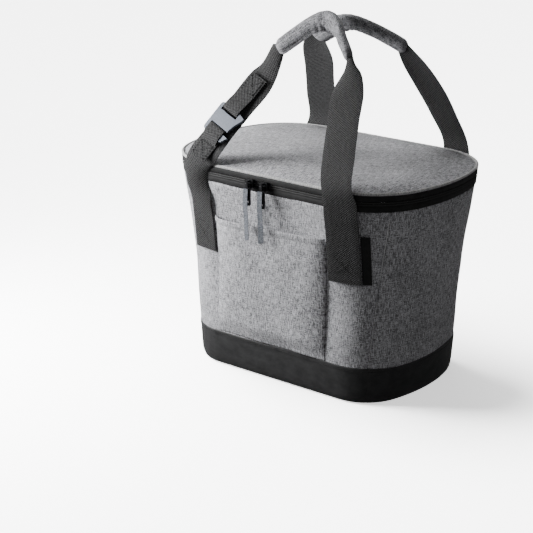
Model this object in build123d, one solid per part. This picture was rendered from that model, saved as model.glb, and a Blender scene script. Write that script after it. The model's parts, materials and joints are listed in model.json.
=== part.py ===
from build123d import *
import math
import os

# An insulated, collapsible cooler bag. Millimetres. +X runs along the front to the right, -Y is the front,
# +Z is up, and the origin is the middle of the base, on the surface that the bag stands on.

# Body: a rounded oblong that widens from the base to the rim.
RIM_LENGTH = 329.0
RIM_DEPTH = 219.0
RIM_CORNER = 75.0
BASE_LENGTH = 280.0
BASE_DEPTH = 180.0
BASE_CORNER = 50.0
END_BOW = 200.0  # radius of the gently bowed ends, at the base and at the rim
RIM_HEIGHT = 240.0
WALL_TOP = 220.0
BOOT_TOP = 42.0
FLOOR_TOP = 12.0
ZIP_HEIGHT = 229.5  # where the two rows of coil meet

# Layers of the wall, as distances in from the outside.
SHELL = 1.2
FOAM = 5.6
LINING = 0.8
GAP = 0.2  # between sewn or glued layers
FOAM_IN = SHELL + GAP
LINING_IN = FOAM_IN + FOAM + GAP
INSIDE = LINING_IN + LINING
RUNNING = 0.3  # between pieces that move past each other
SEAM_SLOPE = 0.134  # the side seams come in by this share of the height
SEAM_AT_TOP = 149.0

# Front pocket.
POCKET_HALF = 76.0
POCKET_FLAT_HALF = 58.0
POCKET_DEPTH = 9.0
POCKET_TOP = 182.0
POCKET_BOTTOM = BOOT_TOP + 1.0
POCKET_FULL = 66.0  # the height where it has come out to its whole depth
HEM = 7.0

# Webbing.
STRAP_WIDTH = 38.0
STRAP = 1.6
NARROW = 25.0
FOOT_X = 97.5
FOOT_BOTTOM = 139.0
FOOT_TOP = 214.0  # where the handles fold outwards
FOLD_HEIGHT = 246.0  # below it a strap runs up past the band; above it leans in
STRAP_CLEARANCE = 1.2
FOLD_CLEARANCE = 5.2  # room for the lid's front edge to swing up inside the folds
LEAN = math.radians(35.1)

# Grips: a sewn sleeve round the webbing.
GRIP_HEIGHT = 24.0
GRIP_THICKNESS = 12.0
SLEEVE = 2.0

# Side tag.
TAG_WIDTH = 10.0
TAG_LENGTH = 54.0
TAG_THICK = 0.8
TAG_BOTTOM = 139.0

# Hardware.
WIRE_RADIUS = 1.5
PIPING_RADIUS = 1.7
BUCKLE_WIDTH = 36.0
BUCKLE_PLATE = 3.0
BUCKLE_ALONG = 48.0  # from the fold to the buckle's middle, along the strap
BUCKLE_ASIDE = 2.0  # it and its webbing lie this far to the left of the strap's middle
SLIDER_X = {"left": -20.0, "right": -0.5}
TAB_LENGTH = 24.0
TAB_WIDTH = 6.4
TAB = 1.6
RIBBON_WIDTH = 6.2
RIBBON = 1.3
RIBBON_ROUTE = [(0, 0, 0), (-0.8, -0.3, -15), (-0.1, 0.2, -30), (1.0, -0.1, -44), (1.2, 0.1, -58)]

os.makedirs("parts", exist_ok=True)


def save(name, shape):
    """Writes one sub-part's solids."""
    solids = list(shape.solids())
    export_step(solids[0] if len(solids) == 1 else Compound(children=solids), f"parts/{name}.step")


def lerp(a, b, share):
    return a + (b - a) * share


# ---- the body's outline -------------------------------------------------------------------------


def sizes_at(z, inset=0.0):
    """Half length, half depth and corner radius of the outline at a height."""
    share = z / RIM_HEIGHT
    return (
        lerp(BASE_LENGTH, RIM_LENGTH, share) / 2 - inset,
        lerp(BASE_DEPTH, RIM_DEPTH, share) / 2 - inset,
        lerp(BASE_CORNER, RIM_CORNER, share) - inset,
    )


def corner_centre(half_length, half_depth, corner, bow):
    """The middle of the front right corner's arc, which touches the straight front and the bowed end."""
    reach = math.sqrt((bow - corner) ** 2 - (half_depth - corner) ** 2)
    return half_length - bow + reach, half_depth - corner, reach


def outline(z, inset=0.0, lift=0.0):
    """The closed outline of the body at a height, in from the outside by inset, and drawn lift higher."""
    half_length, half_depth, corner = sizes_at(z, inset)
    cx, cy, reach = corner_centre(half_length, half_depth, corner, END_BOW - inset)
    turn = math.atan2(cy, reach)
    middle = (turn + math.pi / 2) / 2
    end = (cx + corner * math.cos(turn), cy + corner * math.sin(turn))
    bend = (cx + corner * math.cos(middle), cy + corner * math.sin(middle))
    h = z + lift

    def at(point, sx, sy):
        return (sx * point[0], sy * point[1], h)

    top = (cx, half_depth)
    tip = (half_length, 0)
    return Wire([
        Edge.make_line(at(top, -1, -1), at(top, 1, -1)),
        Edge.make_three_point_arc(at(top, 1, -1), at(bend, 1, -1), at(end, 1, -1)),
        Edge.make_three_point_arc(at(end, 1, -1), at(tip, 1, 1), at(end, 1, 1)),
        Edge.make_three_point_arc(at(end, 1, 1), at(bend, 1, 1), at(top, 1, 1)),
        Edge.make_line(at(top, 1, 1), at(top, -1, 1)),
        Edge.make_three_point_arc(at(top, -1, 1), at(bend, -1, 1), at(end, -1, 1)),
        Edge.make_three_point_arc(at(end, -1, 1), at(tip, -1, 1), at(end, -1, -1)),
        Edge.make_three_point_arc(at(end, -1, -1), at(bend, -1, -1), at(top, -1, -1)),
    ])


def block(inset):
    """The whole body as one solid, from base to rim, in from the outside by inset."""
    return Solid.make_loft([outline(0, inset), outline(RIM_HEIGHT, inset)], ruled=True)


def slab(inset, low, high):
    """The body's shape between two heights."""
    return block(inset) & band_box(low, high)


def band_box(low, high):
    return Pos(0, 0, (low + high) / 2) * Box(500, 500, high - low)


def ring(outer, inner, low, high):
    """One layer of the wall, between two insets and two heights."""
    return (block(outer) - block(inner)) & band_box(low, high)


def wall_point(x, z, gap, side):
    """A point outside the wall, and the way out of it there. side is -1 at the front and 1 at the back."""
    half_length, half_depth, corner = sizes_at(z)
    cx, cy, _ = corner_centre(half_length, half_depth, corner, END_BOW)
    beyond = max(abs(x) - cx, 0.0)
    turn = math.asin(beyond / corner)
    out = Vector(math.copysign(math.sin(turn), x), side * math.cos(turn), 0)
    on_wall = Vector(x, side * (cy + corner * math.cos(turn)), z)
    return on_wall + out * gap, out


# ---- walls, foam and lining ---------------------------------------------------------------------


def seam_x(z):
    return SEAM_AT_TOP - SEAM_SLOPE * (WALL_TOP - z)


def seam_wedge(side, clear):
    """Everything between the two side seams, at the front (side -1) or at the back."""
    low, high = seam_x(0) - clear, seam_x(RIM_HEIGHT) - clear
    face = Polygon((-low, 0), (low, 0), (high, RIM_HEIGHT), (-high, RIM_HEIGHT), align=None)
    return extrude(Plane.XZ * face, amount=200, dir=(0, side, 0))


def split_wall(layer):
    """A layer of wall as its four panels: front, back, left and right."""
    front_cut, back_cut = seam_wedge(-1, GAP / 2), seam_wedge(1, GAP / 2)
    front, back = layer & front_cut, layer & back_cut
    ends = layer - seam_wedge(-1, -GAP / 2) - seam_wedge(1, -GAP / 2)
    half = Pos(150, 0, RIM_HEIGHT / 2) * Box(300 - GAP, 500, 300)
    return {"front": front, "back": back, "left": ends & Pos(-300, 0, 0) * half, "right": ends & half}


def make_walls():
    for name, panel in split_wall(ring(0, SHELL, BOOT_TOP + GAP, WALL_TOP)).items():
        save(f"{name}_panel", panel)
    for name, panel in split_wall(ring(FOAM_IN, FOAM_IN + FOAM, 5.0, WALL_TOP - 1)).items():
        save(f"{name}_foam", panel)
    save("liner_wall", ring(LINING_IN, INSIDE, FLOOR_TOP - LINING, WALL_TOP - 1))


def make_base():
    save("base_panel", slab(0, 0, SHELL))
    save("boot", ring(0, SHELL, SHELL + GAP, BOOT_TOP))
    save("base_board", slab(FOAM_IN, SHELL + GAP, 4.8))
    save("base_foam", slab(LINING_IN, 5.0, FLOOR_TOP - LINING - GAP))
    save("liner_floor", slab(INSIDE + GAP, FLOOR_TOP - LINING, FLOOR_TOP))


# ---- pocket -------------------------------------------------------------------------------------


def pocket_profile(z, depth):
    """The pocket in plan at a height: a flat front with slanting sides, open to the wall."""
    wall = -sizes_at(z)[1] - GAP
    return Wire.make_polygon([
        (-POCKET_HALF, wall, z),
        (POCKET_HALF, wall, z),
        (POCKET_FLAT_HALF, wall - depth, z),
        (-POCKET_FLAT_HALF, wall - depth, z),
    ])


def pocket_block(trim):
    """The pocket filled solid; trim takes that much off its outside."""
    heights = [(POCKET_BOTTOM, 1.6), (POCKET_FULL, POCKET_DEPTH), (POCKET_TOP, POCKET_DEPTH)]
    wires = [pocket_profile(z, max(depth - trim, 0.2)) for z, depth in heights]
    return Solid.make_loft(wires, ruled=True)


def make_pocket():
    inner = pocket_block(SHELL)
    hollow = inner & band_box(POCKET_BOTTOM + 2, RIM_HEIGHT)
    whole = pocket_block(0) - hollow
    save("front_pocket", whole & band_box(POCKET_BOTTOM, POCKET_TOP - HEM))
    save("pocket_hem", whole & band_box(POCKET_TOP - HEM + GAP, POCKET_TOP))


# ---- rim, zip and lid ---------------------------------------------------------------------------


def round_hoop(z, inset, radius):
    """A round section carried once round the outline."""
    path = outline(z, inset)
    start = path @ 0
    return sweep(Plane(start, z_dir=path % 0) * Circle(radius), path=path)


def zip_gap():
    """The stretch at the back where the lid is sewn on and there is no zip."""
    return Pos(0, 150, ZIP_HEIGHT) * Box(140, 200, 60)


def make_rim():
    hem = ring(SHELL + GAP, 6.5, WALL_TOP + GAP, ZIP_HEIGHT - GAP)
    wire_z, wire_inset = 225.0, 4.0
    save("rim_wire", round_hoop(wire_z, wire_inset, WIRE_RADIUS))
    save("rim_hem", hem - round_hoop(wire_z, wire_inset, WIRE_RADIUS + GAP))
    save("lower_tape", ring(0, SHELL, WALL_TOP + GAP, 227.0))
    save("lower_coil", ring(-0.7, 0.9, 227.2, ZIP_HEIGHT - GAP) - zip_gap())
    hinge_strip = ring(6.7, 7.5, WALL_TOP + 1, ZIP_HEIGHT - GAP)
    save("hinge_tape", hinge_strip & Pos(0, 150, ZIP_HEIGHT) * Box(150, 200, 60))
    stops = ring(-1.5, -0.8, 225.0, ZIP_HEIGHT - GAP) & Pos(0, 150, ZIP_HEIGHT) * Box(144, 200, 60)
    save("zip_stops", stops - Pos(0, 150, ZIP_HEIGHT) * Box(134, 200, 60))


LID_RISE = 6.0  # the lid's middle stands this far above its edge
LID_SLOPE = 50.0  # how far in from the edge it goes on rising


def crown(edge_inset, drop):
    """The raised middle of the lid, lowered by drop."""
    low = outline(RIM_HEIGHT, edge_inset, -drop)
    high = outline(RIM_HEIGHT, LID_SLOPE, LID_RISE - drop)
    return Solid.make_loft([low, high], ruled=True)


def make_lid():
    edge = PIPING_RADIUS * 2 - 0.2
    save("upper_coil", ring(-0.7, 0.9, ZIP_HEIGHT + GAP, 231.6) - zip_gap())
    save("upper_tape", ring(0, SHELL, 231.8, 238.0))
    save("lid_piping", round_hoop(RIM_HEIGHT, PIPING_RADIUS - 0.5, PIPING_RADIUS))
    save("lid_top", crown(edge, 0) - crown(edge + SHELL, SHELL))
    foam = slab(edge + GAP, 232.6, RIM_HEIGHT - SHELL - GAP) + crown(edge + SHELL + GAP, SHELL + GAP)
    save("lid_foam", foam)
    save("lid_liner", slab(FOAM_IN, 231.7, 232.4))


# ---- straps and grips ---------------------------------------------------------------------------


def cross_section(centre, across, through, width, thickness):
    """A strap's four-cornered section."""
    w, t = across.normalized() * (width / 2), through.normalized() * (thickness / 2)
    return Wire.make_polygon([centre - w - t, centre + w - t, centre + w + t, centre - w + t])


def strap_foot(x_side, side):
    """The sewn end of a strap, on the wall from its bottom up to where it is free to fold."""
    layer = ring(-GAP - STRAP, -GAP, FOOT_BOTTOM, FOOT_TOP)
    half = STRAP_WIDTH / 2
    cut = Pos(x_side * FOOT_X, side * 150, 170) * Box(2 * half, 300, 200)
    return layer & cut


def lean_way(side):
    """Up along the leaning handle, and out of its plane."""
    up = Vector(0, -side * math.sin(LEAN), math.cos(LEAN))
    return up, Vector(0, side * math.cos(LEAN), math.sin(LEAN))


def leaning(x, z, side):
    """A point in a handle's leaning plane."""
    fold_y = sizes_at(RIM_HEIGHT)[1] + FOLD_CLEARANCE + STRAP / 2
    return Vector(x, side * (fold_y - (z - FOLD_HEIGHT) * math.tan(LEAN)), z)


# Each free strap from its fold to its grip: where it crosses the fold's height, and then (x, z, width, thickness).
# The front right one is pinched into its grip.
LEGS = {
    ("front", -1): (-88.0, [(-47.0, 330.0, 38.0, STRAP), (-46.0, 353.0, 30.0, STRAP)]),
    ("front", 1): (94.0, [(64.0, 333.0, 34.0, STRAP), (54.5, 354.0, 13.0, 3.0)]),
    ("back", -1): (-93.0, [(-48.0, 350.0, 32.0, STRAP)]),
    ("back", 1): (97.0, [(94.0, 285.0, 38.0, STRAP), (83.0, 355.0, 30.0, STRAP)]),
}


def leg_sections(name, x_side):
    """Each section of a free strap: its middle, the way across, the way through, width and thickness."""
    side = -1 if name == "front" else 1
    stand = STRAP_CLEARANCE + STRAP / 2
    foot, foot_out = wall_point(x_side * (FOOT_X - 0.5), FOOT_TOP + RUNNING, stand, side)
    fold_x, ends = LEGS[name, x_side]
    fold = leaning(fold_x, FOLD_HEIGHT, side)
    out = lean_way(side)[1]
    ends = [(leaning(x, z, side), width, thickness) for x, z, width, thickness in ends]
    slant = (ends[0][0] - fold).normalized()
    across = Vector(-side, 0, 0)
    skewed = STRAP_WIDTH / slant.cross(across).length  # the fold lies level, across a strap that slants
    found = [
        (foot, Vector(0, 0, 1).cross(foot_out), foot_out, STRAP_WIDTH, STRAP),
        (fold, across, out + Vector(0, side, 0), skewed, STRAP / math.cos((math.pi / 2 - LEAN) / 2)),
    ]
    last = fold
    for centre, width, thickness in ends:
        along = (centre - last).normalized()
        found.append((centre, along.cross(out), out, width, thickness))
        last = centre
    return found


def leg(name, x_side):
    sections = leg_sections(name, x_side)
    pieces = []
    for low, high in zip(sections, sections[1:]):
        pieces.append(Solid.make_loft([cross_section(*low), cross_section(*high)], ruled=True))
    return Part() + pieces


# Each grip's bend: its two ends and the corner that is rounded into its top, as (x, z).
GRIP_BENDS = {
    "front": ([(-43.0, 360.0), (6.0, 401.0), (52.5, 361.0)], 25.0),
    "back": ([(-44.0, 358.0), (17.0, 401.0), (79.0, 365.0)], 40.0),
}


def grip(name, thinner):
    """The sleeve's outer shape, made thinner all round."""
    side = -1 if name == "front" else 1
    points, radius = GRIP_BENDS[name]
    path = FilletPolyline(*[leaning(x, z, side) for x, z in points], radius=radius)
    out = lean_way(side)[1]
    start = Plane(path @ 0, x_dir=out, z_dir=path % 0)
    oval = Ellipse(GRIP_THICKNESS / 2 - thinner, GRIP_HEIGHT / 2 - thinner)
    return sweep(start * oval, path=path)


def make_handles():
    for name in ("front", "back"):
        side = -1 if name == "front" else 1
        for word, x_side in (("left", -1), ("right", 1)):
            save(f"{name}_{word}_foot", strap_foot(x_side, side))
            save(f"{name}_{word}_strap", leg(name, x_side))
        save(f"{name}_grip_sleeve", grip(name, 0) - grip(name, SLEEVE))
        save(f"{name}_grip_core", grip(name, SLEEVE + GAP))


# ---- buckle and its narrow webbing --------------------------------------------------------------


def buckle_frame():
    """The place on the front left strap that the buckle lies over: origin, across, along and out."""
    fold, end = leg_sections("front", -1)[1:3]
    along = (end[0] - fold[0]).normalized()
    out = lean_way(-1)[1]
    across = along.cross(out)
    origin = fold[0] + along * BUCKLE_ALONG + out * (STRAP / 2) - across * BUCKLE_ASIDE
    return origin, across, along, out


LAYER = 1.2  # one thickness of the narrow webbing
LIFT = 0.4  # its lower layer's clearance over the wide strap
BAR_OUT = 3.4  # the buckle's middle plane, above the wide strap
BAR_ALONG = 15.0  # from the buckle's middle to its round top bar
TURN_IN = 1.8
LOWER_TURN = -9.8


def along_strap(profile):
    """A profile drawn along and out from the strap, widened to the narrow webbing."""
    origin, across, along, out = buckle_frame()
    return extrude(Plane(origin, x_dir=along, z_dir=across) * profile, amount=NARROW / 2, both=True)


def flat(low, high, bottom, top):
    return Pos((low + high) / 2, (bottom + top) / 2) * Rectangle(high - low, top - bottom)


def turn_round(at, way):
    """Half a turn of webbing round a bar; way is the side that it closes on."""
    hoop = Pos(at, BAR_OUT) * (Circle(TURN_IN + LAYER) - Circle(TURN_IN))
    return hoop & Pos(at + way * 5, BAR_OUT) * Rectangle(10, 10)


def make_buckle():
    top_in, top_out = BAR_OUT + TURN_IN, BAR_OUT + TURN_IN + LAYER
    sewn_in, sewn_out = LIFT + LAYER + GAP, LIFT + 2 * LAYER + GAP
    upper = turn_round(BAR_ALONG, -1) + flat(BAR_ALONG, 62, LIFT, LIFT + LAYER)
    upper += Polygon((BAR_ALONG, top_in), (BAR_ALONG, top_out), (40, sewn_out), (40, sewn_in), align=None)
    upper += flat(40, 62, sewn_in, sewn_out)
    save("buckle_strap_upper", along_strap(upper))
    loop = turn_round(LOWER_TURN, 1) + flat(-26, LOWER_TURN, LIFT, LIFT + LAYER)
    loop += flat(-19.5, LOWER_TURN, top_in, top_out)
    loop += Polygon((-19.5, top_out), (-19.5, top_in), (-26, 2.4), (-26, 3.6), align=None)
    save("buckle_loop", along_strap(loop))
    save("buckle_strap_lower", along_strap(flat(-47, -26.4, LIFT, sewn_out)))

    origin, across, along, out = buckle_frame()
    flat_plane = Plane(origin + out * BAR_OUT, x_dir=across, z_dir=out)
    plate = Pos(-0.75, -0.5) * RectangleRounded(BUCKLE_WIDTH - 1.5, 36, 4)
    plate += Polygon((15, 16.8), (22.5, 15.5), (21.5, 11.5), (15, -1), align=None)  # thumb tab
    plate += Polygon((10, -18.4), (15.5, -20), (20.5, -11.8), (15, -11.4), align=None)  # the hook's horn
    plate -= Pos(0, 13.5) * Rectangle(27, 8)
    plate -= Pos(4.5, -8.85) * Rectangle(BUCKLE_WIDTH - 0.5, 5.1)
    plate -= Pos(20.8, -4.5) * Circle(5.6)
    body = extrude(flat_plane * plate, amount=BUCKLE_PLATE / 2, both=True)
    bar_plane = Plane(origin + out * BAR_OUT + along * BAR_ALONG, x_dir=out, z_dir=across)
    bar = extrude(bar_plane * Circle(1.5), amount=14.5, both=True)
    save("buckle", body + bar)
    pivot = origin + out * BAR_OUT + along * BAR_ALONG
    print("buckle pivot", [round(v, 3) for v in pivot], "axis", [round(v, 4) for v in across])


# ---- sliders, tabs and ribbons ------------------------------------------------------------------

BRIDGE_HALF = 1.3
SLIDER_HALF = 5.5
SLIDER_THICK = 3.2


def make_sliders():
    back = sizes_at(ZIP_HEIGHT)[1] + 0.7 + RUNNING + 0.1
    front = back + SLIDER_THICK
    pin_out = front + 1.25
    for word, x in SLIDER_X.items():
        body = Pos(x, -(back + front) / 2, ZIP_HEIGHT) * Box(2 * SLIDER_HALF, SLIDER_THICK, 9.6)
        body = fillet(body.edges().filter_by(Axis.Y), 2.2)
        arch = Pos(x, -(front + 1.85), ZIP_HEIGHT) * Box(2 * BRIDGE_HALF, 3.7, 8.0)
        arch -= Pos(x, -(front + 1.25), ZIP_HEIGHT) * Box(10, 2.5, 4.0)
        save(f"slider_{word}", body + arch)
        print(f"pull_{word} pivot", (x, round(-pin_out, 3), ZIP_HEIGHT))

        pin = Pos(x, -pin_out, ZIP_HEIGHT) * Rot(0, 90, 0) * Cylinder(0.8, TAB_WIDTH)
        plate = Pos(0, -TAB_LENGTH / 2) * RectangleRounded(TAB_WIDTH, TAB_LENGTH, 1.5)
        plate -= Pos(0, -2.4) * Rectangle(2 * (BRIDGE_HALF + 0.6), 5.2)
        plate -= Pos(0, -TAB_LENGTH + 4) * Circle(1.4)
        face = Plane((x, -pin_out, ZIP_HEIGHT), x_dir=(1, 0, 0), z_dir=(0, -1, 0)) * plate
        save(f"pull_{word}", extrude(face, amount=TAB / 2, both=True) + pin)
        make_ribbon(word, x - 1.6, -(pin_out + TAB / 2 + RUNNING + RIBBON / 2), ZIP_HEIGHT - 5.5)


def make_ribbon(word, x, y, z):
    """A limp fabric pull: its route's runs, rounded by arcs as large as the runs allow."""
    points = [Vector(x + dx, y + dy, z + dz) for dx, dy, dz in RIBBON_ROUTE]
    radii = []
    for a, b, c in zip(points, points[1:], points[2:]):
        turn = math.radians((b - a).get_angle(c - b))
        radii.append(0.45 * min((b - a).length, (c - b).length) / math.tan(turn / 2))
    print(f"ribbon_{word} radii", [round(r) for r in radii])
    path = FilletPolyline(*points, radius=radii)
    start = Plane(path @ 0, x_dir=(1, 0, 0), z_dir=path % 0)
    strip = sweep(start * Rectangle(RIBBON_WIDTH, RIBBON), path=path)
    swept = path.length * RIBBON_WIDTH * RIBBON
    print("  length", round(path.length, 1), "volume share", round(strip.volume / swept, 4))
    save(f"ribbon_{word}", strip)


# ---- side tag -----------------------------------------------------------------------------------


def make_tag():
    """A blank woven tag, folded in beside the right strap's sewn end."""
    x = FOOT_X + STRAP_WIDTH / 2 + TAG_WIDTH / 2 + RUNNING
    low = wall_point(x, TAG_BOTTOM, TAG_THICK / 2 + 0.5, -1)[0]
    high, out = wall_point(x, TAG_BOTTOM + TAG_LENGTH, TAG_THICK / 2 + 0.5, -1)
    up = (high - low).normalized()
    across = up.cross(out).normalized()
    plane = Plane((low + high) / 2, x_dir=across, z_dir=across.cross(up))
    save("side_tag", extrude(plane * Rectangle(TAG_WIDTH, TAG_LENGTH), amount=TAG_THICK / 2, both=True))


make_base()
make_walls()
make_pocket()
make_rim()
make_lid()
make_handles()
make_buckle()
make_sliders()
make_tag()
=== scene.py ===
import json
import math

import bpy
import numpy as np
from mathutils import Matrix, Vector, noise


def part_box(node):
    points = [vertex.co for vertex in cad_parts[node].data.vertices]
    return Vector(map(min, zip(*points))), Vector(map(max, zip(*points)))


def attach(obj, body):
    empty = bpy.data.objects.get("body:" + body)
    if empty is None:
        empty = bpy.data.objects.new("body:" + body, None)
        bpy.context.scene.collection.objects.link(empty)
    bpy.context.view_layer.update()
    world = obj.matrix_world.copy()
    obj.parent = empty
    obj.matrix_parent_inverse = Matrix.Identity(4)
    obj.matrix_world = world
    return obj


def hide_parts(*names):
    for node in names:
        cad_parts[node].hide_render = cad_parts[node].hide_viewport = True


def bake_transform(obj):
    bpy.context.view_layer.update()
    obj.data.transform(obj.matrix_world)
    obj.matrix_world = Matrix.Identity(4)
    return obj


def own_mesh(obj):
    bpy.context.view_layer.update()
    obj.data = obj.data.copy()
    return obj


# An insulated, collapsible cooler bag: the looks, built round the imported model. Sizes here are in
# millimetres, in the model's frame: +X along the front to the right, -Y the front, +Z up, the base on
# z = 0. The camera and the lights are in metres.

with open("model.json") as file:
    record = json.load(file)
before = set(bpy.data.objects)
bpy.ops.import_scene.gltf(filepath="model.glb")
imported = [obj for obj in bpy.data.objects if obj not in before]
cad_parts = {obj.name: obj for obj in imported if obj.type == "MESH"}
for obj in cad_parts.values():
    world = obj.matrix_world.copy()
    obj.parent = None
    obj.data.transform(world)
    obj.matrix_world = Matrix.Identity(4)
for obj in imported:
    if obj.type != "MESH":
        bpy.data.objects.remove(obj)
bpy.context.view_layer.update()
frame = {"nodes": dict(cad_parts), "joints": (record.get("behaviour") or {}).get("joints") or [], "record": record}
nodes = frame["nodes"]
MM = 0.001

# The body, as in the model.
RIM_HEIGHT = 240.0
HALF_LENGTH = (140.0, 164.5)  # at the base and at the rim
HALF_DEPTH = (90.0, 109.5)
CORNER = (50.0, 75.0)
END_BOW = 200.0
WALL_TOP = 220.0
SEAM_AT_TOP = 142.0
SEAM_SLOPE = 0.134

# The zip, from low to high: each strip's lowest and highest z.
LOWER_TAPE = (220.3, 227.1)
LOWER_COIL = (227.4, 229.4)
ZIP_HEIGHT = 229.5
UPPER_COIL = (229.7, 231.6)
UPPER_TAPE = (231.8, 238.3)
ZIP_END = 72.0  # the coils' ends on the back, along x from its middle

# Webbing and handles.
SIDES = {"front": -1, "back": 1}  # each handle's side, along y
STRAP_WIDTH = 38.0
STRAP = 1.6
FOOT_X = 97.5
FOOT_BOTTOM = 139.0
FOOT_TOP = 214.2
FOLD_HEIGHT = 246.0
FOLD_CLEARANCE = 5.2
LEAN = math.radians(35.1)

# The buckle's top bar, from the middle of the buckle: along the strap and out of it.
BAR_ALONG = 15.0
BAR_OUT = 3.4


# ---- camera and light ---------------------------------------------------------------------------


def point_at(obj, place, target):
    obj.location = place
    obj.rotation_euler = (Vector(place) - Vector(target)).to_track_quat("Z", "Y").to_euler()


def make_camera():
    azimuth, elevation, distance = math.radians(39.0), math.radians(18.7), 1.8091
    target = Vector((-0.0872, 0, 0.0925))
    level = math.cos(elevation)
    back = Vector((math.sin(azimuth) * level, -math.cos(azimuth) * level, math.sin(elevation)))
    data = bpy.data.cameras.new("camera")
    data.sensor_width, data.lens = 36.0, 104.4
    camera = bpy.data.objects.new("camera", data)
    bpy.context.scene.collection.objects.link(camera)
    point_at(camera, target + back * distance, target)
    bpy.context.scene.camera = camera


def area_light(name, place, target, size, power, colour=(1, 1, 1)):
    data = bpy.data.lights.new(name, "AREA")
    data.shape, data.size, data.size_y = "RECTANGLE", size[0], size[1]
    data.energy, data.color = power, colour
    light = bpy.data.objects.new(name, data)
    bpy.context.scene.collection.objects.link(light)
    light.visible_camera = False
    point_at(light, place, target)


def make_light():
    area_light("key", (-0.52, -0.38, 0.38), (0, -0.05, 0.16), (0.3, 0.3), 12.0)
    area_light("top", (-0.55, 0.35, 1.9), (0, 0, 0.2), (1.2, 1.2), 17)
    world = bpy.data.worlds.new("studio")
    bpy.context.scene.world = world
    world.use_nodes = True
    background = world.node_tree.nodes["Background"]
    background.inputs["Color"].default_value = (1, 1, 1, 1)
    background.inputs["Strength"].default_value = 0.15


# ---- materials ----------------------------------------------------------------------------------


def node(tree, kind, inputs=None, **settings):
    """Adds a shader node. An input is a value, or a socket to link."""
    made = tree.nodes.new("ShaderNode" + kind)
    for key, value in settings.items():
        setattr(made, key, value)
    for key, value in (inputs or {}).items():
        if isinstance(value, bpy.types.NodeSocket):
            tree.links.new(value, made.inputs[key])
        else:
            made.inputs[key].default_value = value
    return made


def new_material(name):
    material = bpy.data.materials.new(name)
    material.use_nodes = True
    tree = material.node_tree
    tree.nodes.clear()
    shader = node(tree, "BsdfPrincipled")
    node(tree, "OutputMaterial", {"Surface": shader.outputs[0]})
    return material, tree, shader


def cloth_place(tree, scale=(1, 1)):
    """The place in the cloth, in units of scale millimetres across and along."""
    place = node(tree, "UVMap", uv_map="cloth").outputs[0]
    factor = (1000 / scale[0], 1000 / scale[1], 1)
    return node(tree, "VectorMath", {0: place, 1: factor}, operation="MULTIPLY").outputs[0]


def noise_at(tree, place, detail=2.0, rough=0.5):
    inputs = {"Vector": place, "Scale": 1.0, "Detail": detail, "Roughness": rough}
    return node(tree, "TexNoise", inputs).outputs[0]


def maths(tree, kind, a, b=None):
    inputs = {0: a} if b is None else {0: a, 1: b}
    return node(tree, "Math", inputs, operation=kind).outputs[0]


def ramp(tree, factor, stops):
    made = node(tree, "ValToRGB", {0: factor})
    elements = made.color_ramp.elements
    elements[0].position, elements[0].color = stops[0][0], (*stops[0][1], 1)
    elements[1].position, elements[1].color = stops[-1][0], (*stops[-1][1], 1)
    for place, colour in stops[1:-1]:
        elements.new(place).color = (*colour, 1)
    return made.outputs[0]


def bump(tree, shader, height, strength, distance):
    made = node(tree, "Bump", {"Strength": strength, "Distance": distance, "Height": height})
    tree.links.new(made.outputs[0], shader.inputs["Normal"])


def threads(tree, across, along):
    """The over and under of a plain weave, from 0 to 1; across and along are the thread spacings in mm."""
    split = node(tree, "SeparateXYZ", {0: cloth_place(tree, (across, along))})
    one = maths(tree, "SINE", maths(tree, "MULTIPLY", split.outputs[0], 2 * math.pi))
    two = maths(tree, "SINE", maths(tree, "MULTIPLY", split.outputs[1], 2 * math.pi))
    return maths(tree, "MULTIPLY_ADD", maths(tree, "MULTIPLY", one, two), 0.5)


def heather(name, dark, light):
    """Two-tone yarns: long slubs both ways, fine flecks, and a plain weave."""
    material, tree, shader = new_material(name)
    upright = noise_at(tree, cloth_place(tree, (1.2, 8.0)), 3.0, 0.65)
    level = noise_at(tree, cloth_place(tree, (8.0, 1.2)), 3.0, 0.65)
    fleck = noise_at(tree, cloth_place(tree, (1.2, 1.2)), 1.0)
    broad = noise_at(tree, cloth_place(tree, (45.0, 60.0)), 2.0)
    mixed = maths(tree, "ADD", maths(tree, "MULTIPLY", upright, 0.42), maths(tree, "MULTIPLY", level, 0.24))
    mixed = maths(tree, "ADD", mixed, maths(tree, "MULTIPLY", fleck, 0.26))
    mixed = maths(tree, "ADD", mixed, maths(tree, "MULTIPLY", broad, 0.08))
    middle = tuple((a + b) / 2 for a, b in zip(dark, light))
    colour = ramp(tree, mixed, [(0.44, dark), (0.5, middle), (0.56, light)])
    tree.links.new(colour, shader.inputs["Base Color"])
    shader.inputs["Roughness"].default_value = 0.85
    shader.inputs["Specular IOR Level"].default_value = 0.25
    shader.inputs["Sheen Weight"].default_value = 0.15
    shader.inputs["Sheen Roughness"].default_value = 0.5
    height = maths(tree, "ADD", maths(tree, "MULTIPLY", threads(tree, 1.1, 1.1), 0.5), mixed)
    bump(tree, shader, height, 0.55, 0.0006)
    return material


def ribbed(name, dark, light, across=1.9, along=1.3):
    """Heavy webbing: picks across, in columns."""
    material, tree, shader = new_material(name)
    weave = threads(tree, across, along)
    wear = noise_at(tree, cloth_place(tree, (3.0, 1.2)), 2.0, 0.6)
    mixed = maths(tree, "ADD", maths(tree, "MULTIPLY", weave, 0.45), maths(tree, "MULTIPLY", wear, 0.55))
    tree.links.new(ramp(tree, mixed, [(0.34, dark), (0.66, light)]), shader.inputs["Base Color"])
    shader.inputs["Roughness"].default_value = 0.75
    shader.inputs["Specular IOR Level"].default_value = 0.12
    bump(tree, shader, weave, 0.9, 0.0007)
    return material


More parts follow.
